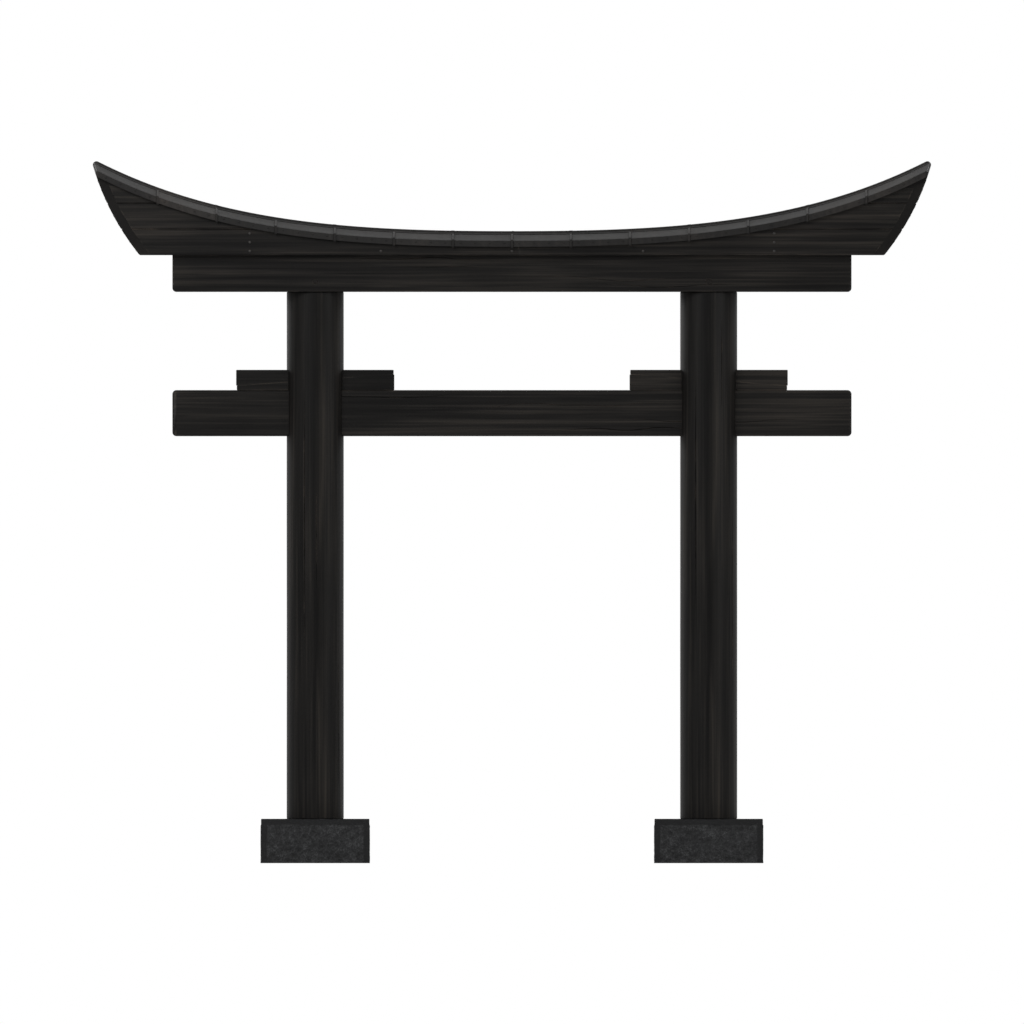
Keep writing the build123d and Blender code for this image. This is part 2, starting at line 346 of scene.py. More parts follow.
def lacquer(name, along, heart):
    """Black lacquer over timber: the grain runs along one axis and shows as rings at the ends."""
    finish, tree, surface, here = new_finish(name)
    turned = add_step(tree, "Mapping", Vector=here, Location=[-place for place in heart])

    def figure(with_grain, across_grain, detail, wander=0.0):
        scale = [with_grain if axis == along else across_grain for axis in "XYZ"]
        drawn = add_step(tree, "Mapping", Vector=turned, Scale=scale)
        return clouds(tree, drawn, 1.0, detail, wander)

    bands = figure(0.55, 26.0, 4.0, 0.6)
    streaks = figure(1.1, 85.0, 3.0)
    fibres = figure(7.0, 420.0, 2.0)
    cloud = figure(0.7, 2.2, 3.0)
    wandering = {"Scale": 62.0, "Distortion": 9.0, "Detail": 4.0, "Detail_Scale": 0.9}
    round_heart = {"wave_type": "RINGS", "rings_direction": along}
    rings = add_step(tree, "TexWave", Vector=turned, **wandering, **round_heart)
    facing = add_step(tree, "NewGeometry").node.outputs
    ways = add_step(tree, "SeparateXYZ", Vector=facing["Normal"]).node.outputs
    at_end = ranged(tree, reckoned(tree, "ABSOLUTE", ways[along]), 0.80, 0.92)
    # Faces that look up are painted lighter: a painted top light.
    painted_top_light = ranged(tree, ways["Z"], 0.55, 0.95)

    rounded = add_step(tree, "Bevel", Radius=0.010, samples=4)
    turn = add_step(tree, "VectorMath", rounded, facing["True Normal"], operation="DOT_PRODUCT")
    turn = turn.node.outputs["Value"]
    rubbed = ranged(tree, figure(5.0, 16.0, 5.0), 0.44, 0.66)
    worn = reckoned(tree, "MULTIPLY", ranged(tree, turn, 0.985, 0.86), rubbed)

    side_tone = weighed(tree, 0.0, (bands, 0.55), (streaks, 0.30), (cloud, 0.30))
    end_tone = weighed(tree, 0.24, (rings, 0.15), (cloud, 0.42))
    tone = add_step(tree, "Mix", Factor=at_end, A=side_tone, B=end_tone)
    # The painted top light and the worn arrises both lift the tone here.
    tone = weighed(tree, tone, (painted_top_light, 0.10), (worn, 0.36))
    colour = shades(
        tree,
        tone,
        (0.0, (0.0014, 0.0013, 0.0013)),
        (0.46, (0.0026, 0.0024, 0.0023)),
        (0.58, (0.0058, 0.0053, 0.0049)),
        (0.72, (0.0155, 0.0136, 0.0118)),
        (1.0, (0.0380, 0.0310, 0.0248)),
    )
    sheen = weighed(tree, 0.30, (cloud, 0.22), (streaks, 0.14), (worn, 0.16), (at_end, 0.16))
    side_height = weighed(tree, 0.0, (bands, 0.0020), (streaks, 0.0007), (fibres, 0.0001))
    end_height = weighed(tree, 0.0, (rings, 0.0002))
    height = add_step(tree, "Mix", Factor=at_end, A=side_height, B=end_height)
    grain = relief(tree, height, 0.75)
    feed(tree, surface, Base_Color=colour, Roughness=sheen, Specular_IOR_Level=0.07, Normal=grain)
    return finish


def closed_over(*solids):
    """A body of solids, each closed over its own rings of points, with a flat face at each end."""
    body = bmesh.new()
    for rings in solids:
        loops = [[body.verts.new(point) for point in ring] for ring in rings]
        for here, there in zip(loops, loops[1:]):
            for i, corner in enumerate(here):
                body.faces.new((here[i - 1], corner, there[i], there[i - 1]))
        body.faces.new(loops[0])
        body.faces.new(loops[-1])
        points = [point for loop in loops for point in loop]
        bmesh.ops.remove_doubles(body, verts=points, dist=same_place)
    return body


def round_point(radius, angle, level):
    """A point of a round piece, about its own centre line."""
    return radius * math.cos(angle), radius * math.sin(angle), level


def drying_checks(seed):
    chance = random.Random(seed)
    taken = []
    for step in range(check_count):
        column = round((step + chance.uniform(*check_shares)) * column_count / check_count)
        column += 1 if column % (column_count // 8) == 0 else 0  # clear of the tenons' corners
        length = chance.uniform(*check_lengths)
        start = chance.uniform(shaft_foot + clear_of_foot, shaft_head - length - clear_of_head)
        taken.append((column % column_count, start, length, chance.uniform(*check_sizes)))
    return taken


def gape_at(share):
    """How wide a check stands open at a share of its length, against its middle."""
    return math.sin(math.pi * share) ** check_fullness if 0 < share < 1 else 0


def log_ring(height, checks, seed):
    """The outline of a log at one height, as angles and radii, opened where a check passes."""
    outline = []
    by_column = {check[0]: check for check in checks}
    for column in range(column_count):
        angle = math.tau * column / column_count
        rise = Vector((math.cos(angle), math.sin(angle), height * swell_waves + seed))
        radius = shaft_radius - shaft_swell * (0.5 + 0.5 * noise.noise(rise))
        if column not in by_column:
            outline.append((angle, radius))
            continue
        _, start, length, size = by_column[column]
        change = noise.noise(Vector((height * gape_waves, column, seed)))
        uneven = gape_mean + gape_change * change
        gape = gape_at((height - start) / length) * (size * uneven)
        angle += check_wander * noise.noise(Vector((height * wander_waves, column, seed + 5)))
        spread = max(0.5 * check_width * gape, closed_check) / shaft_radius
        outline.append((angle - spread, radius))
        outline.append((angle, radius - check_depth * gape))
        outline.append((angle + spread, radius))
    return outline


def log_body(seed):
    """A log about its own centre line, from the end of its foot tenon to the end of its head tenon."""
    checks = drying_checks(seed)
    angles = [angle for angle, _ in log_ring(shaft_foot, checks, seed)]

    def tenon(half, level):
        runs = [half / max(abs(math.cos(angle)), abs(math.sin(angle))) for angle in angles]
        return [round_point(run, angle, level) for run, angle in zip(runs, angles)]

    def shaft(level, eased_by=0.0):
        ring = log_ring(level, checks, seed)
        return [round_point(radius - eased_by, angle, level) for angle, radius in ring]

    count = round((shaft_head - shaft_foot) / ring_spacing)
    levels = np.linspace(shaft_foot + easing_length, shaft_head - easing_length, count)
    rings = [tenon(foot_tenon_half, level) for level in (pillar_low.z, shaft_foot)]
    rings += [shaft(shaft_foot, end_easing), *map(shaft, levels), shaft(shaft_head, end_easing)]
    rings += [tenon(head_tenon_half, level) for level in (shaft_head, pillar_high.z)]
    return closed_over(rings)


def block_between(low, high):
    """A block from its lowest to its highest corner."""
    block = bmesh.new()
    bmesh.ops.create_cube(block, size=1)
    for vertex in block.verts:
        vertex.co = [a + (b - a) * (0.5 + c) for a, b, c in zip(low, high, vertex.co)]
    return block


def cut_out(piece, *bodies):
    """Cut solid bodies out of a piece."""
    cutters = []
    for body in bodies:
        cutters.append(as_piece(body, "cutter", piece.data.materials[0], timber_crease))
        cut = piece.modifiers.new("cut", "BOOLEAN")
        cut.object = cutters[-1]
        cut.solver = "EXACT"
    bpy.context.view_layer.update()
    shown = piece.evaluated_get(bpy.context.evaluated_depsgraph_get())
    carved = bpy.data.meshes.new_from_object(shown)
    carved.set_sharp_from_angle(angle=math.radians(timber_crease))
    piece.modifiers.clear()
    piece.data = carved
    piece.modifiers.new("flat faces kept flat", "WEIGHTED_NORMAL").keep_sharp = True
    for cutter in cutters:
        bpy.data.objects.remove(cutter)


tie_low, tie_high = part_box("tie_beam")
wedge_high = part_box("right_upper_wedge")[1]
peg_low, peg_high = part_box("right_lintel_peg")
tie_cheek = tie_high.y - mortise_pinch
wedge_cheek = wedge_high.y - mortise_pinch
wedge_foot = tie_high.z - mortise_overlap
cut_reach = shaft_radius + past_log
for name, side, seed in (("left", -1, 11), ("right", 1, 27)):
    centre = side * stone_centre
    finish = lacquer(f"{name}_pillar_lacquer", "Z", (centre, 0, 0))
    post = as_piece(log_body(seed), f"{name}_turned_pillar", finish, timber_crease)
    post.data.transform(Matrix.Translation((centre, 0, 0)))
    start, end = centre - cut_reach, centre + cut_reach
    peg_start = peg_low.x if side > 0 else -peg_high.x
    peg_end = peg_start + peg_high.x - peg_low.x
    cut_out(
        post,
        block_between((start, -tie_cheek, tie_low.z), (end, tie_cheek, tie_high.z)),
        block_between((start, -wedge_cheek, wedge_foot), (end, wedge_cheek, wedge_high.z)),
        block_between((peg_start, -cut_reach, peg_low.z), (peg_end, cut_reach, peg_high.z)),
    )
    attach(post, "root")
    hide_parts(f"{name}_pillar")

# Tie beam. One flat plank on edge, passed through both pillars' mortises, its corners rounded and
# its long edges eased, lacquered black with the grain along the gate. As it dried, long checks
# opened in its faces and short ones ran out from its heart at the ends.
face_check_count = 4  # on each face
face_check_lengths = (0.5, 1.7)
face_check_width = 0.0085
face_check_depth = 0.022
face_check_clear = 0.1  # from the beam's ends
face_check_shares = (0.3, 0.7)  # where up its own strip of the face a check may lie
face_check_sizes = (0.5, 1.0)
end_check_count = 5
end_check_width = 0.0080
end_check_depth = 0.034
end_check_clear = 0.022  # from the beam's edges
end_check_shares = (0.25, 0.75)  # where in its own part of the round a check may run
end_check_starts = (0.08, 0.40)  # shares of the way from the heart to the edge
end_check_sizes = (0.35, 1.0)
end_check_least = 0.3  # share of the way to the edge that the smallest would run
sliver_steps = 16
sliver_proud = 0.001  # how far a sliver stands out of the face that it is cut from
sliver_drift = 0.03  # sideways, in a check one metre long
drift_waves = 3  # to the metre
least_gape = 0.02  # of a sliver's ends, against its middle


def sliver(start, along, outward, width, depth, seed):
    """One drying check, to be cut out of a face: a thin wedge that tapers to both its ends."""
    across = along.cross(outward).normalized()
    rings = []
    for step in range(sliver_steps + 1):
        share = step / sliver_steps
        gape = max(gape_at(share), least_gape)
        bend = noise.noise(Vector((share * along.length * drift_waves, seed, 0.5)))
        drift = sliver_drift * along.length**0.5 * bend
        middle = start + along * share + across * drift
        mouth = across * 0.5 * width * gape
        lip = middle + outward * sliver_proud
        rings.append((lip - mouth, lip + mouth, middle - outward * depth * gape))
    return rings


def checked_beam(node, name, heart, seed):
    """A beam of its solid's own shape, lacquered along the gate, with its drying checks open."""
    low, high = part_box(node)
    chance = random.Random(seed)
    checks = []
    for face in (-1, 1):
        for strip in range(face_check_count):
            length = chance.uniform(*face_check_lengths)
            x = chance.uniform(low.x + face_check_clear, high.x - length - face_check_clear)
            rise = (strip + chance.uniform(*face_check_shares)) / face_check_count
            z = low.z + (high.z - low.z) * rise
            start = Vector((x, face * high.y, z))
            size = chance.uniform(*face_check_sizes)
            along = Vector((length, 0, 0))
            width, depth = face_check_width * size, face_check_depth * size
            checks.append(sliver(start, along, Vector((0, face, 0)), width, depth, seed + strip))
        for spoke in range(end_check_count):
            angle = math.tau * (spoke + chance.uniform(*end_check_shares)) / end_check_count
            way = Vector((0, math.cos(angle), math.sin(angle)))
            edge_y = high.y - end_check_clear - heart[1] * math.copysign(1, way.y)
            edge_z = (high.z - heart[2] if way.z > 0 else heart[2] - low.z) - end_check_clear
            room = min(edge_y / abs(way.y), edge_z / abs(way.z))
            begin = room * chance.uniform(*end_check_starts)
            start = Vector((face * high.x, heart[1], heart[2])) + way * begin
            size = chance.uniform(*end_check_sizes)
            run = end_check_least + (1 - end_check_least) * size
            along = way * (room - begin) * run
            width, depth = end_check_width * size, end_check_depth * size
            checks.append(sliver(start, along, Vector((face, 0, 0)), width, depth, seed + spoke))
    body = bmesh.new()
    body.from_mesh(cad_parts[node].data)
    bmesh.ops.remove_doubles(body, verts=body.verts, dist=same_place)
    beam = as_piece(body, name, lacquer(f"{node}_lacquer", "X", heart), timber_crease)
    cut_out(beam, closed_over(*checks))
    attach(beam, "root")
    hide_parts(node)


tie_heart = (0, 0, (tie_low.z + tie_high.z) / 2)
checked_beam("tie_beam", "planed_tie_beam", tie_heart, seed=5)

# Folding wedges. A pair at each pillar, driven past each other over the tie beam until it is
# tight. They are of hard oak, and their heads show end grain.
wedge_heart_back = 0.03
wedge_heart_rise = 0.01


def coat(node, along, heart):
    """Lacquer a solid that keeps its own shape."""
    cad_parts[node].material_slots[0].material = lacquer(f"{node}_lacquer", along, heart)


for side_name in ("left", "right"):
    for level in ("lower", "upper"):
        wedge = f"{side_name}_{level}_wedge"
        coat(wedge, "X", (0, wedge_heart_back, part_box(wedge)[0].z + wedge_heart_rise))

# Lower lintel. One straight beam on the pillar heads, sawn with the log's heart low in its back
# half, its lower corners rounded. A square oak peg runs through it and each head tenon.
lintel_low, lintel_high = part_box("lower_lintel")
lintel_heart_back = 0.07
lintel_heart_rise = 0.09
lintel_heart = (0, lintel_heart_back, lintel_low.z + lintel_heart_rise)
peg_heart_aside = 0.01
checked_beam("lower_lintel", "planed_lower_lintel", lintel_heart, seed=17)
for peg in ("left_lintel_peg", "right_lintel_peg"):
    low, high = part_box(peg)
    coat(peg, "Y", ((low.x + high.x) / 2 + peg_heart_aside, 0, (low.z + high.z) / 2))

# Sole planks. Two flat planks lie on the lower lintel and carry the whole upper lintel; only
# their undersides show, past the lintel's sides and ends.
sole_heart_drop = 0.12  # the planks were sawn above their log's heart
for sole in ("front_sole_plank", "back_sole_plank"):
    sole_low, sole_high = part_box(sole)
    coat(sole, "X", (0, (sole_low.y + sole_high.y) / 2, sole_low.z - sole_heart_drop))

# Ribs. Upright boards of plain sawn timber stand across the sole planks, inside the upper lintel,
# and carry the ridge pole and the roof boards. Nothing of them shows once the roof is on.
sawn, tree, surface, here = new_finish("sawn_cedar")
lengthwise = add_step(tree, "Mapping", Vector=here, Scale=(40.0, 3.0, 60.0))
growth = clouds(tree, lengthwise, 1.0, 5.0, 0.4)
saw_marks = add_step(tree, "TexWave", Vector=here, Scale=22.0, Distortion=2.0, bands_direction="Y")
sawn_shade = shades(
    tree,
    growth,
    (0.3, (0.150, 0.092, 0.050)),
    (0.5, (0.240, 0.155, 0.088)),
    (0.7, (0.330, 0.225, 0.135)),
)
sawn_sheen = ranged(tree, growth, 0.3, 0.7, 0.62, 0.82)
furry = relief(tree, weighed(tree, 0.0, (growth, 0.0010), (saw_marks, 0.0004)), 0.8)
feed(tree, surface, Base_Color=sawn_shade, Roughness=sawn_sheen, Normal=furry)
rib_places = []
for rib in ("left_outer_rib", "left_inner_rib", "middle_rib", "right_inner_rib", "right_outer_rib"):
    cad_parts[rib].material_slots[0].material = sawn
    low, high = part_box(rib)
    rib_places.append((low.x + high.x) / 2)

# Fascias. Each side of the upper lintel is boarded with cedar planks laid one on another, sawn
# along the top to the ridge's upsweep, bevelled at their joints, and nailed to the ribs inside.
# The lowest plank is scarfed at mid-length.
gate_sides = (("left", -1), ("right", 1))
gate_faces = (("front", -1), ("back", 1))
sole_level = sole_low.z
sole_overhang = 0.253  # past the lower lintel
tip_overhang = 0.376  # past the sole
sole_reach = lintel_high.x + sole_overhang
tip_reach = sole_reach + tip_overhang
tip_height = 0.751  # of the ridge line at its tips, above the sole's underside
crown_height = 0.186  # and at mid-length
bow_radius = 1.981
bow_tries = 14  # rounds that find where a line meets the bow
ridge_flat_handle = 1.270  # of the ridge's curve, level from mid-length
ridge_tip_handle = 1.070  # and along its slope from the tip
ridge_tip_slope = math.radians(27.7)
ridge_steps = 1200
roof_fall = 0.18  # for each metre of depth
under_roof = 0.050  # from the ridge line down to the undersides of the roof boards
fascia_outer = -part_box("front_left_fascia")[0].y
fascia_inner = -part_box("front_left_fascia")[1].y
fascia_middle = (fascia_outer + fascia_inner) / 2
fascia_heart = 0.07  # height of the planks' heart
scarf_run = 2.0  # along the gate, for each metre of a plank's thickness
scarf_clear = 0.075  # from mid-length to a plank's first square outline
end_thickness = 0.070
plank_height = 0.200
plank_bevel = 0.006
plank_ease = 0.003  # off the corner where an upper plank starts
thinnest_start = 0.022  # an upper plank starts where it would be this high
plank_step = 0.070  # from one outline of a plank to the next
face_steps = 4  # heights up a plank's face
joggle_run = 0.0005  # of the step in a plank's top, where the next plank starts
joint_clear = 0.02  # no outline stands nearer to a joint than this, but its own
plank_joints = (0, plank_height, 2 * plank_height, tip_height)
plank_crease = 25
nail_radius = 0.0105
nail_rise = 0.0045
nail_shares = (0.16, 0.50, 0.84)  # up each plank
nail_levels = [joint + share * plank_height for joint in plank_joints[:-1] for share in nail_shares]
nail_clear = 0.022  # from the roof boards' undersides
nail_outline = ((1.0, -0.001), (0.92, 0.45), (0.60, 0.85))  # shares of its radius and its rise
nail_sides = 10
nail_crease = 40

tip_handle_run = ridge_tip_handle * math.cos(ridge_tip_slope)
tip_handle_rise = ridge_tip_handle * math.sin(ridge_tip_slope)
ridge_handles = (
    (0, crown_height),
    (ridge_flat_handle, crown_height),
    (tip_reach - tip_handle_run, tip_height - tip_handle_rise),
    (tip_reach, tip_height),
)
ridge_shares = np.linspace(0, 1, ridge_steps)[:, None]
ridge_line = sum(
    pull * ridge_shares**i * (1 - ridge_shares) ** (3 - i) * np.array(ridge_handles[i])
    for i, pull in enumerate((1, 3, 3, 1))
)
half_chord = math.hypot(tip_reach - sole_reach, tip_height) / 2
set_back = math.sqrt(bow_radius**2 - half_chord**2) / (2 * half_chord)
bow_x = (sole_reach + tip_reach) / 2 - tip_height * set_back
bow_z = tip_height / 2 + (tip_reach - sole_reach) * set_back


def ridge_height(x):
    """Height of the ridge line above the sole's underside."""
    return float(np.interp(abs(x), ridge_line[:, 0], ridge_line[:, 1]))


def under_boards(depth):
    """How far the roof boards' undersides lie below the ridge line at one depth."""
    return under_roof + roof_fall * depth


def bow_reach(height, inset=0.0):
    """How far out the bow-shaped end lies at a height above the sole's underside."""
    return bow_x + math.sqrt((bow_radius - inset) ** 2 - (height - bow_z) ** 2)


def at_bow(drop, inset):
    """Where a line this far below the ridge line meets the bow-shaped end, as (reach, height)."""
    height = tip_height - drop
    for _ in range(bow_tries):
        reach = bow_reach(height, inset)
        height = ridge_height(reach) - drop
    return reach, height


def places_along(start, end, step, joints):
    """Places at which a long piece is given an outline, clear of its joints."""
    places = np.arange(start + step, end, step)
    return [x for x in places if all(abs(x - joint) > joint_clear for joint in joints)]


def placed(rows, side, forward):
    """Outlines of one quarter of the upper lintel, moved to their own side and face of the gate."""
    return [[(side * x, forward * depth, sole_level + z) for x, depth, z in row] for row in rows]


def plank_start(foot):
    """Where a plank that stands at this height begins, out from mid-length."""
    needed = foot + thinnest_start + under_boards(fascia_outer)
    return float(np.interp(needed, ridge_line[:, 1], ridge_line[:, 0]))


def plank_rises(foot, head):
    """Heights up a plank's face from bevel to bevel, close enough together to follow the bow."""
    return [float(z) for z in np.linspace(foot + plank_bevel, head - plank_bevel, face_steps)]


def plank_section(x, foot, head, side, ease):
    """The outline of a fascia plank at one place, seen along the gate, as (x, depth, height)."""
    outer = fascia_outer - ease
    heads = []
    for depth in (fascia_inner, outer):
        drop = under_boards(depth)
        heads.append(min(head, ridge_height(x) - drop, at_bow(drop, end_thickness)[1]))
    outline = [(outer - plank_bevel, foot), (fascia_inner, foot)]
    outline += [(fascia_inner, height) for height in plank_rises(foot, heads[0])]
    outline += [(fascia_inner, heads[0]), (outer - plank_bevel, heads[1])]
    outline += [(outer, height) for height in reversed(plank_rises(foot, heads[1]))]
    points = []
    for depth, height in outline:
        scarf = side * scarf_run * (depth - fascia_middle)
        place = min(x, bow_reach(height, end_thickness)) if x else scarf
        points.append((place, depth, height))
    return points


def fascia_planks(side):
    """The planks of half a fascia, each as a row of outlines from mid-length to the end board."""
    planks = []
    for foot, head in zip(plank_joints, plank_joints[1:]):
        start = plank_start(foot) if foot else 0
        full = start + plank_ease if foot else scarf_clear
        joggle = plank_start(head)
        out = at_bow(max(tip_height - head, under_boards(fascia_inner)), end_thickness)[0]
        sections = [(start, tip_height, plank_ease), (full, tip_height, 0), (tip_reach, head, 0)]
        for x in places_along(start, out, plank_step, [joggle]):
            if x > full:
                sections.append((x, tip_height if x < joggle else head, 0))
        if joggle < out:
            sections += [(joggle, tip_height, 0), (joggle + joggle_run, head, 0)]
        planks.append([plank_section(x, foot, top, side, ease) for x, top, ease in sorted(sections)])
    return planks


def nails_at(places, name, finish, radius, height):
    """A piece of low round nail heads, each at a place and looking one way."""
    heads = []
    for place, way in places:
        turn = Vector((0, 0, 1)).rotation_difference(Vector(way)).to_matrix().to_4x4()
        seat = Matrix.Translation(place) @ turn
        rims = []
        for share, rise in nail_outline:
            angles = [math.tau * step / nail_sides for step in range(nail_sides)]
            rim = [round_point(share * radius, angle, rise * height) for angle in angles]
            rims.append([seat @ Vector(point) for point in rim])
        heads.append(rims)
    return as_piece(closed_over(*heads), name, finish, nail_crease)


black_iron, tree, surface, here = new_finish("black_iron")
scale = clouds(tree, here, 130.0, 3.0)
iron_shade = shades(
    tree,
    scale,
    (0.3, (0.0060, 0.0058, 0.0056)),
    (0.5, (0.0120, 0.0112, 0.0106)),
    (0.7, (0.0260, 0.0215, 0.0185)),
)
iron_sheen = ranged(tree, scale, 0.3, 0.7, 0.42, 0.62)
hammered = relief(tree, scale, 0.8, 0.0006)
feed(tree, surface, Base_Color=iron_shade, Metallic=0.5, Roughness=iron_sheen, Normal=hammered)

for face, forward in gate_faces:
    for side_name, side in gate_sides:
        node = f"{face}_{side_name}_fascia"
        heart = (0, forward * fascia_middle, sole_level + fascia_heart)
        finish = lacquer(f"{node}_lacquer", "X", heart)
        boards = closed_over(*(placed(rings, side, forward) for rings in fascia_planks(side)))
        planks = as_piece(boards, f"{node}_planks", finish, plank_crease)
        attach(planks, "root")
        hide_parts(node)

    places = []
    for x in rib_places:
        top = ridge_height(x) - under_boards(fascia_outer) - nail_clear
        for level in nail_levels:
            if level < top:
                places.append(((x, forward * fascia_outer, sole_level + level), (0, forward, 0)))
    nails = nails_at(places, f"{face}_fascia_nails", black_iron, nail_radius, nail_rise)
    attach(nails, "root")

# End boards. The bow-shaped ends are of the same planks, laid across over the fascias' ends and
# sawn to the bow together; nails through them hold the fascias and the soles.
bow_ease = 0.006
flush_rise = 0.0014  # the end nails are driven nearly flush, so the bow stays clean
notch_half = 0.042  # the ridge pole lies in a notch
notch_drop = 0.072
notch_step = 0.0002
end_heart_out = 0.05
end_heart_drop = 0.04
end_slope_depths = (0.2, 0.12)  # at which a plank's sloping top is outlined


def end_section(depth, foot, head, ease):
    """The outline of an end plank at one depth, as (reach, depth, height)."""
    drop = notch_drop if abs(depth) < notch_half else under_boards(abs(depth))
    outer_head = min(head, at_bow(drop, ease)[1])
    inner_head = min(head, at_bow(drop, end_thickness)[1])
    outline = [(bow_reach(foot, ease) - plank_bevel, foot)]
    outline += [(bow_reach(height, ease), height) for height in plank_rises(foot, outer_head)]
    outline.append((bow_reach(outer_head, ease) - plank_bevel, outer_head))
    for height in (inner_head, *reversed(plank_rises(foot, inner_head)), foot):
        outline.append((bow_reach(height, end_thickness), height))
    return [(reach, depth, height) for reach, height in outline]


end_depths = [(-fascia_outer, bow_ease), (bow_ease - fascia_outer, 0)]
end_depths += [(-depth, 0) for depth in end_slope_depths]
end_depths += [(-notch_half - notch_step, 0), (notch_step - notch_half, 0)]
end_depths += [(-depth, ease) for depth, ease in reversed(end_depths)]
for side_name, side in gate_sides:
    boards = []
    for foot, head in zip(plank_joints, plank_joints[1:]):
        rings = [end_section(depth, foot, head, ease) for depth, ease in end_depths]
        boards.append(placed(rings, side, 1))
    heart = (side * (sole_reach + end_heart_out), 0, sole_level - end_heart_drop)
    finish = lacquer(f"{side_name}_end_lacquer", "Y", heart)
    ends = as_piece(closed_over(*boards), f"{side_name}_end_planks", finish, plank_crease)
    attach(ends, "root")
    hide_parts(f"{side_name}_end_board")

    places = []
    for level in nail_levels:
        fall = math.asin((bow_z - level) / bow_radius)
        way = (side * math.cos(fall), 0, -math.sin(fall))
        for depth in (-fascia_middle, fascia_middle):
            places.append(((side * bow_reach(level), depth, sole_level + level), way))
    nails = nails_at(places, f"{side_name}_end_nails", black_iron, nail_radius, flush_rise)
    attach(nails, "root")

# Roof boards and their copper. Cedar boards slope down from the ridge pole on each side. Sheets of
# copper, darkened black, lie over them with folded seams from ridge to eave. They are turned down
# over the ends, and over the eaves, where they are nailed.
sheet_thickness = 0.0012
roof_top = 0.014  # from the ridge line down to the roof's top faces, at mid-depth
roof_reach = -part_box("front_left_roof_board")[0].y
deck_inner = 0.042
deck_play = 0.0022  # between the boards and the copper
deck_feather = 0.003  # what is left of the boards' thickness at their ends, under the turned copper
deck_cut = 0.036  # how far inside the bow the boards' ends start to be sawn down
deck_heart_out = 0.2
deck_heart_rise = 0.4
sheet_inner = 0.052
sheet_width = 0.455
sheet_slack = 0.0016
slack_end = 0.33  # depth at which the sheet is drawn tight over the eave
slack_run = 0.05
slack_along = 4.2  # swells to the metre along the gate
slack_down = 6  # and down the slope
slack_seed = 3
sheet_clear = 0.065  # from the last outline to where the sheet turns down
sheet_step = 0.065  # from one plain outline of a sheet to the next
slope_steps = 6
eave_turn = 0.006  # the sheet starts to turn over the eave this far from it
seam_half = 0.011
seam_rise = 0.009
seam_start = 0.080  # depth at which the seams come up from under the ridge cap
seam_start_run = 0.025
seam_clear = 0.08  # from the last seam to the last outline
end_round = 0.016
end_set = 0.0012  # the sheet's end lies this far inside the end boards' bow
end_turns = 9
end_falls = (0.5, 1)  # shares of the fall from the turn to the bottom, where points are set
sighting = 0.02  # how far from a corner its two ways are taken
drip_drop = 0.009
drip_flare = 0.004
eave_nail_pitch = sheet_width / 4
eave_nail_radius = 0.0085
eave_nail_rise = 0.003
eave_nail_clear = 0.03
copper_crease = 35


def slope_drop(depth):
    """How far a roof's top face lies below the ridge line at one depth."""
    return roof_top + roof_fall * depth


def turned_end(drop, inset, rounding, bottom):
    """Points where a sheet rounds the end of its board and runs down the bow to the bottom."""
    corner = Vector(at_bow(drop, inset))
    along = Vector((corner.x - sighting, ridge_height(corner.x - sighting) - drop)) - corner
    down = Vector((bow_reach(corner.y - sighting, inset), corner.y - sighting)) - corner
    along.normalize()
    down.normalize()
    half = along.angle(down) / 2
    middle = corner + (along + down).normalized() * rounding / math.sin(half)
    first = corner + along * rounding / math.tan(half) - middle
    last = corner + down * rounding / math.tan(half) - middle
    sweep = math.pi - 2 * half
    points = []
    for turn in range(end_turns + 1):
        angle = sweep * turn / end_turns
        spoke = first * math.sin(sweep - angle) + last * math.sin(angle)
        points.append(tuple(middle + spoke / math.sin(sweep)))
    lower = points[-1][1]
    for share in end_falls:
        level = lower + (bottom - lower) * share
        points.append((bow_reach(level, inset), level))
    return points


def ways_out(line):
    """Which way is straight out of a sheet at each point of its outer line, as (depth, drop)."""
    ways = []
    for i in range(len(line)):
        sides = []
        for a, b in zip(line[max(i - 1, 0) : i + 1], line[max(i, 1) : i + 2]):
            run, fall = b[0] - a[0], b[1] - a[1]
            sides.append(Vector((fall, -run)) / math.hypot(run, fall))
        ways.append((sides[0] + sides[-1]) / (1 + sides[0].dot(sides[-1])))
    return ways


def folded_sheet(line, stations, proud, turned, hanging=0):
    """A sheet laid along the ridge line and turned down over its end, as rows of closed outlines.

    The line is the sheet's outer section. Each station is a place along the gate with its own
    rise, and `proud` says how far the sheet stands up there. `turned` gives each depth its inset
    from the bow, its rounding and its bottom, and the hanging points stop short at the bow.
    """
    ways = ways_out(line)
    around = [(i, 0) for i in range(len(line))]
    around += [(i, sheet_thickness) for i in reversed(range(len(line)))]
    rows = []
    for x, rise in stations:
        row = []
        for i, inward in around:
            lift = proud(x, rise, line[i][0]) - inward
            depth, drop = Vector(line[i]) + ways[i] * lift
            row.append((x, depth, ridge_height(x) - drop))
        rows.append(row)
    ends = []
    for i, inward in around:
        depth, drop = Vector(line[i]) - ways[i] * inward
        inset, rounding, bottom = turned(line[i][0])
        if i < len(line) - hanging:
            path = turned_end(drop, inset + inward, rounding - inward, bottom)
        else:
            path = [at_bow(drop, inset + inward)] * (end_turns + 1 + len(end_falls))
        ends.append([(reach, depth, height) for reach, height in path])
    return rows + list(zip(*ends))


def along_ridge(line, x):
    """The outline of a long timber at one place along the gate."""
    return [(x, depth, ridge_height(x) - drop) for depth, drop in line]


def cut_at_bow(line, inset):
    """The outline of a long timber where it is sawn to the bow, or this far inside it."""
    row = []
    for depth, drop in line:
        reach, height = at_bow(drop, inset)
        row.append((reach, depth, height))
    return row


def stations_of(start, end, joints, outline):
    """Places along a sheet with their rises: its start, its plain lengths, its joints, its end."""
    stations = start + [(x, 0.0) for x in places_along(0, end, sheet_step, joints)] + [(end, 0.0)]
    for joint in joints:
        stations += [(joint + place, rise) for place, rise in outline]
    return sorted(stations)


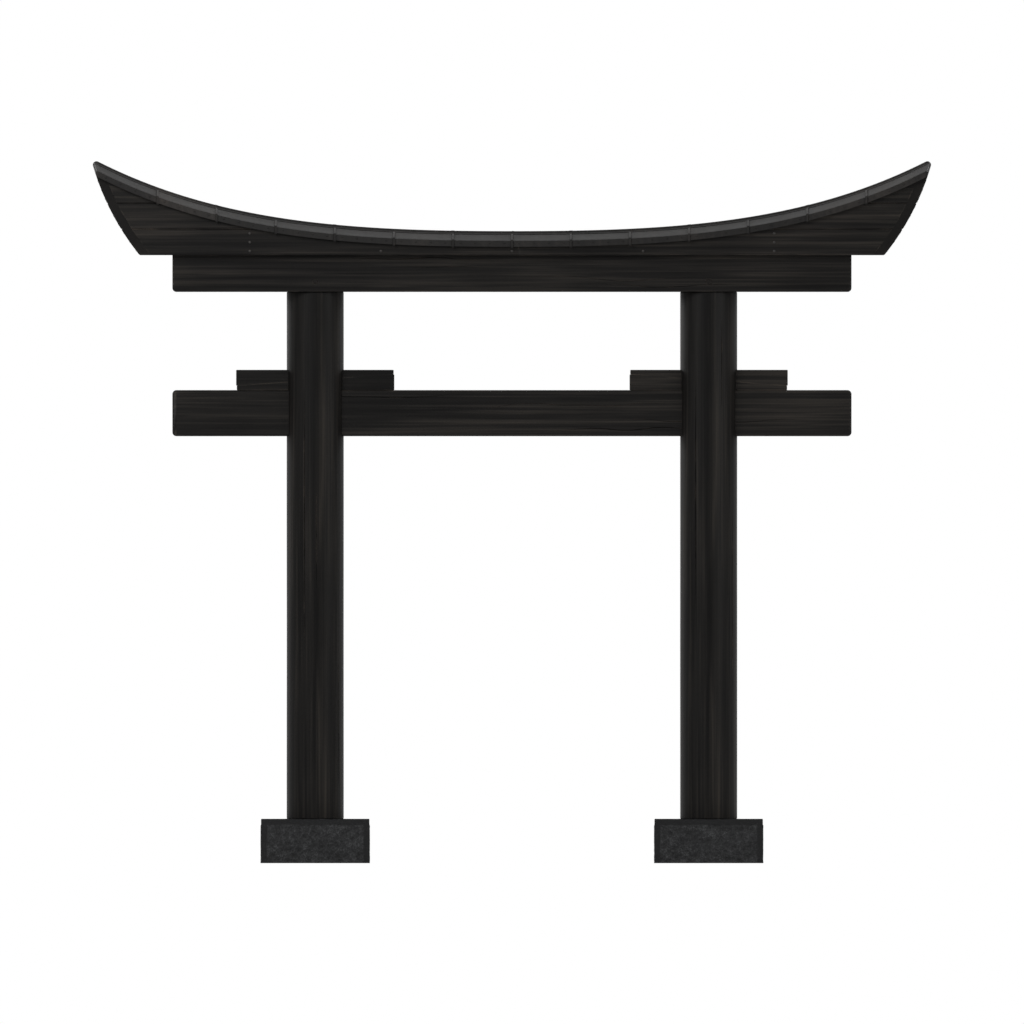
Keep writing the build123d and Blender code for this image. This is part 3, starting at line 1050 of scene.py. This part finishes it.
def sheet_turned(depth):
    """The sheet's end hangs to the undersides of the boards."""
    return end_set, end_round, at_bow(under_boards(min(depth, roof_reach)), end_set)[1]


black_copper, tree, surface, here = new_finish("black_copper")
split = add_step(tree, "SeparateXYZ", Vector=here).node.outputs
sheet_number = reckoned(tree, "FLOOR", reckoned(tree, "DIVIDE", split["X"], sheet_width))
side_number = reckoned(tree, "SIGN", split["Y"])
sheet_place = add_step(tree, "CombineXYZ", X=sheet_number, Y=side_number)
sheet_tone = add_step(tree, "TexWhiteNoise", Vector=sheet_place, noise_dimensions="3D")
cloud = clouds(tree, here, 3.2, 6.0, 0.5)
feed(tree, cloud.node, Roughness=0.62)
mottle = clouds(tree, here, 38.0, 4.0)
downhill = add_step(tree, "Mapping", Vector=here, Scale=(28.0, 2.0, 6.0))
runs = clouds(tree, downhill, 1.0, 4.0)
tone = weighed(tree, 0.0, (cloud, 0.46), (mottle, 0.20), (runs, 0.24), (sheet_tone, 0.17))
copper_shade = shades(
    tree,
    tone,
    (0.34, (0.0034, 0.0032, 0.0031)),
    (0.50, (0.0072, 0.0066, 0.0062)),
    (0.64, (0.0150, 0.0132, 0.0120)),
    (0.80, (0.0330, 0.0268, 0.0228)),
)
facing = add_step(tree, "NewGeometry").node.outputs["Normal"]
endways = add_step(tree, "SeparateXYZ", Vector=facing).node.outputs["X"]
at_end = ranged(tree, reckoned(tree, "ABSOLUTE", endways), 0.40, 0.75)
patina = weighed(tree, 0.40, (cloud, 0.30), (mottle, 0.12), (at_end, 0.34))
dents = relief(tree, weighed(tree, 0.0, (cloud, 0.0060), (mottle, 0.0006)), 0.5)
feed(tree, surface, Base_Color=copper_shade, Roughness=patina, Specular_IOR_Level=0.12, Normal=dents)

# The sheet's line runs from under the ridge cap down the slope, then over the eave to its drip.
eave_drop = slope_drop(roof_reach)
eave_foot = under_boards(roof_reach)
drip_foot = eave_foot + drip_drop
slope_depths = np.linspace(sheet_inner, roof_reach - eave_turn, slope_steps)
sheet_line = [(depth, slope_drop(depth)) for depth in slope_depths]
sheet_line += [(roof_reach - 0.0015, eave_drop + 0.0005), (roof_reach, eave_drop + 0.0050)]
drip_line = [
    (roof_reach, eave_foot),
    (roof_reach + drip_flare, drip_foot),
    (roof_reach + drip_flare / 2, drip_foot + 0.0025),
    (roof_reach - 2 * drip_flare, drip_foot + 0.0010),
]

# Across a seam the sheet stands up, lies folded over one side, and comes down again.
seam_outline = [(-seam_half, 0.0), (-seam_half + 0.002, seam_rise - 0.001)]
seam_outline += [(seam_half - 0.005, seam_rise), (seam_half, 0.0)]
sheet_out = at_bow(slope_drop(sheet_inner), end_set)[0] - sheet_clear
seams = np.arange(sheet_width, sheet_out - seam_clear, sheet_width)
middle_seam = [(0.0, seam_rise), (seam_half - 0.004, seam_rise), (seam_half, 0.0)]
sheet_stations = stations_of(middle_seam, sheet_out, seams, seam_outline)

under_sheet = sheet_thickness + deck_play
deck_outer = roof_reach - under_sheet
deck_line = [
    (deck_inner, slope_drop(deck_inner) + under_sheet),
    (deck_outer, slope_drop(deck_outer) + under_sheet),
    (deck_outer, under_boards(deck_outer)),
    (deck_inner, under_boards(deck_inner)),
]
deck_places = [x for x, rise in sheet_stations if not rise and x > 2 * seam_half]
feathered = [(depth, max(drop, under_boards(depth) - deck_feather)) for depth, drop in deck_line]
deck_rows = [along_ridge(deck_line, x) for x in [0, *deck_places]]
deck_rows += [cut_at_bow(deck_line, deck_cut), cut_at_bow(feathered, end_set + under_sheet)]

for face, forward in gate_faces:
    for side_name, side in gate_sides:
        node = f"{face}_{side_name}_roof_board"
        heart = (0, forward * deck_heart_out, sole_level + deck_heart_rise)
        finish = lacquer(f"{node}_lacquer", "X", heart)
        boards = closed_over(placed(deck_rows, side, forward))
        deck = as_piece(boards, f"{face}_{side_name}_roof_deck", finish, plank_crease)
        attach(deck, "root")
        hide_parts(node)

        def sheet_proud(x, rise, depth):
            place = Vector((side * x * slack_along, forward * depth * slack_down, slack_seed))
            swell = 0.5 + 0.5 * noise.noise(place)
            slack = sheet_slack * swell * eased((slack_end - depth) / slack_run)
            return rise * eased((depth - seam_start) / seam_start_run) - slack

        line = sheet_line + drip_line
        rows = folded_sheet(line, sheet_stations, sheet_proud, sheet_turned, len(drip_line))
        folds = closed_over(placed(rows, side, forward))
        sheet = as_piece(folds, f"{face}_{side_name}_roof_copper", black_copper, copper_crease)
        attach(sheet, "root")
        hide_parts(node)

    eave_middle = (eave_drop + eave_foot) / 2
    nail_out = at_bow(eave_middle, 0)[0] - eave_nail_clear
    places = []
    for x in np.arange(eave_nail_pitch / 2, nail_out, eave_nail_pitch):
        height = sole_level + ridge_height(x) - eave_middle
        places += [((side * x, forward * roof_reach, height), (0, forward, 0)) for side in (-1, 1)]
    nails = nails_at(places, f"{face}_eave_nails", black_copper, eave_nail_radius, eave_nail_rise)
    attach(nails, "root")

# Ridge pole and its cap. A timber pole runs along the ridge, scarfed at mid-length, and a cap of
# the same black copper is folded over it, lapped every two sheets, and turned down over its tips.
cap_set = 0.0008
cap_half = 0.042
cap_bevel = 0.018
cap_flange = 0.030
cap_round = 0.028
cap_clear = 0.085  # from the last outline to where the cap turns down
flange_round = end_round + 0.0015  # outside the sheets' own turn
lap_half = 0.012
lap_rise = 0.0016
lap_edge = 0.001
lap_spacing = 2 * sheet_width
lap_clear = 0.1
pole_play = 0.0025  # between the pole's sides and its cap
pole_side = cap_half - pole_play
pole_back = cap_half - cap_bevel - 0.002
pole_depth = 0.072
pole_cut = 0.060  # how far inside the bow the pole's tips start to be sawn down
pole_feather = 0.010
pole_end_set = 0.006
scarf_length = 0.180

flange_edge = cap_half + cap_flange
cap_line = [
    (-flange_edge, slope_drop(flange_edge) - 0.0008),
    (-flange_edge + 0.001, slope_drop(flange_edge) - 0.0032),
    (-cap_half - 0.004, slope_drop(cap_half) - 0.0032),
    (-cap_half - 0.0005, slope_drop(cap_half) - 0.0045),
    (-cap_half, cap_bevel + 0.0010),
    (-cap_half + 0.0020, cap_bevel - 0.0020),
    (-cap_half + cap_bevel - 0.0035, 0.0036),
    (-cap_half + cap_bevel + 0.0010, 0.0014),
    (-cap_half + cap_bevel + 0.0080, 0.0008),
    (0, 0.0004),
]
cap_line += [(-depth, drop) for depth, drop in reversed(cap_line[:-1])]
pole_line = [(-pole_side, pole_depth), (-pole_side, cap_bevel + 0.003), (-pole_back, 0.0065)]
pole_line += [(-depth, drop) for depth, drop in reversed(pole_line)]
pole_tip = [(depth, max(drop, pole_depth - pole_feather)) for depth, drop in pole_line]
cap_out = at_bow(0, cap_set)[0] - cap_clear
laps = np.arange(lap_spacing / 2, cap_out - lap_clear, lap_spacing)
lap_end = lap_half + lap_edge
lap_outline = [(-lap_end, 0.0), (-lap_half, lap_rise), (lap_half, lap_rise), (lap_end, 0.0)]


def cap_proud(x, rise, depth):
    """The cap stands up only by its laps."""
    return rise


def cap_turned(depth):
    """The cap's top runs down over the pole's end, and its flanges down over the sheets'."""
    if abs(depth) <= cap_half:
        return cap_set, cap_round, at_bow(pole_depth, cap_set)[1]
    return cap_set, flange_round, at_bow(under_boards(abs(depth)), cap_set)[1]


for side_name, side in gate_sides:
    first_rise = lap_rise if side > 0 else 0.0  # the right cap lies over the left one
    middle_lap = [(0.0, first_rise), (lap_half, first_rise), (lap_end, 0.0)]
    stations = stations_of(middle_lap, cap_out, laps, lap_outline)
    rows = folded_sheet(cap_line, stations, cap_proud, cap_turned)
    folds = closed_over(placed(rows, side, 1))
    cap = as_piece(folds, f"{side_name}_ridge_cap", black_copper, copper_crease)
    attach(cap, "root")
    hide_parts(f"{side_name}_ridge_pole")

    scarf = []
    for depth, drop in pole_line:
        place = side * scarf_length * (0.5 - drop / pole_depth)
        scarf.append((place, depth, ridge_height(place) - drop))
    rows = [scarf]
    rows += [along_ridge(pole_line, x) for x, rise in stations if not rise and x > scarf_length]
    rows += [cut_at_bow(pole_line, pole_cut), cut_at_bow(pole_tip, pole_end_set)]
    timber = closed_over(placed(rows, side, 1))
    pole = as_piece(timber, f"{side_name}_ridge_timber", sawn, plank_crease)
    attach(pole, "root")
    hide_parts(f"{side_name}_ridge_pole")

# The pale studio floor, the light and the camera. The floor keeps the gate's shadow and runs out to
# white; the camera sees the gate square on from the front, as the picture does.
floor_reach = 60
fade_start = 3.5
fade_end = 8.0
sky_light = 0.42  # the sky's strength on the gate, against 1 as it is seen
view_width = 7.8861
view_place = (0.0004, -11.3, 2.7043)
view_depth = 200

floor_finish, tree, surface, here = new_finish("pale_floor")
away = add_step(tree, "VectorMath", here, operation="LENGTH").node.outputs["Value"]
seen = add_step(tree, "LightPath").node.outputs["Is Camera Ray"]
white = add_step(tree, "Emission", Color=(1, 1, 1, 1), Strength=1.0)
shown = reckoned(tree, "MULTIPLY", ranged(tree, away, fade_start, fade_end), seen)
feed(tree, surface, Base_Color=(0.84, 0.84, 0.84, 1), Roughness=0.9, Specular_IOR_Level=0.0)
mixed = add_step(tree, "MixShader", shown, surface.outputs[0], white)
feed(tree, tree.nodes["Material Output"], Surface=mixed)
ground = bmesh.new()
bmesh.ops.create_grid(ground, size=floor_reach)
floor = as_piece(ground, "floor", floor_finish, crease=0)

sky = bpy.data.worlds.new("studio")
bpy.context.scene.world = sky
sky.use_nodes = True
tree = sky.node_tree
rays = add_step(tree, "LightPath").node.outputs
direct = reckoned(tree, "MAXIMUM", rays["Is Camera Ray"], rays["Is Glossy Ray"])
direct = reckoned(tree, "MAXIMUM", direct, rays["Is Transmission Ray"])
strength = ranged(tree, direct, 0.0, 1.0, sky_light, 1.0)
feed(tree, tree.nodes["Background"], Color=(1, 1, 1, 1), Strength=strength)

aim = Vector((0, 0, 2.6))
lamps = (  # each with its place, its width and its power in watts
    ("key", (-6.5, -9.0, 9.5), 6.0, 1300),
    ("fill", (9.0, -7.0, 5.0), 5.0, 420),
    ("back_left", (-7.5, 8.5, 8.0), 5.0, 700),
    ("back_right", (7.5, 8.0, 9.0), 5.0, 500),
)
for name, place, size, power in lamps:
    lamp = bpy.data.lights.new(name, "AREA")
    lamp.size = size
    lamp.energy = power
    stand = bpy.data.objects.new(name, lamp)
    stand.location = place
    stand.rotation_euler = (aim - stand.location).to_track_quat("-Z", "Y").to_euler()
    bpy.context.scene.collection.objects.link(stand)

view = bpy.data.cameras.new("front")
view.type = "ORTHO"
view.ortho_scale = view_width
view.clip_end = view_depth
camera = bpy.data.objects.new("front", view)
camera.location = view_place
camera.rotation_euler = (math.pi / 2, 0, 0)
bpy.context.scene.collection.objects.link(camera)
bpy.context.scene.camera = camera
bpy.context.scene.view_settings.view_transform = "Standard"
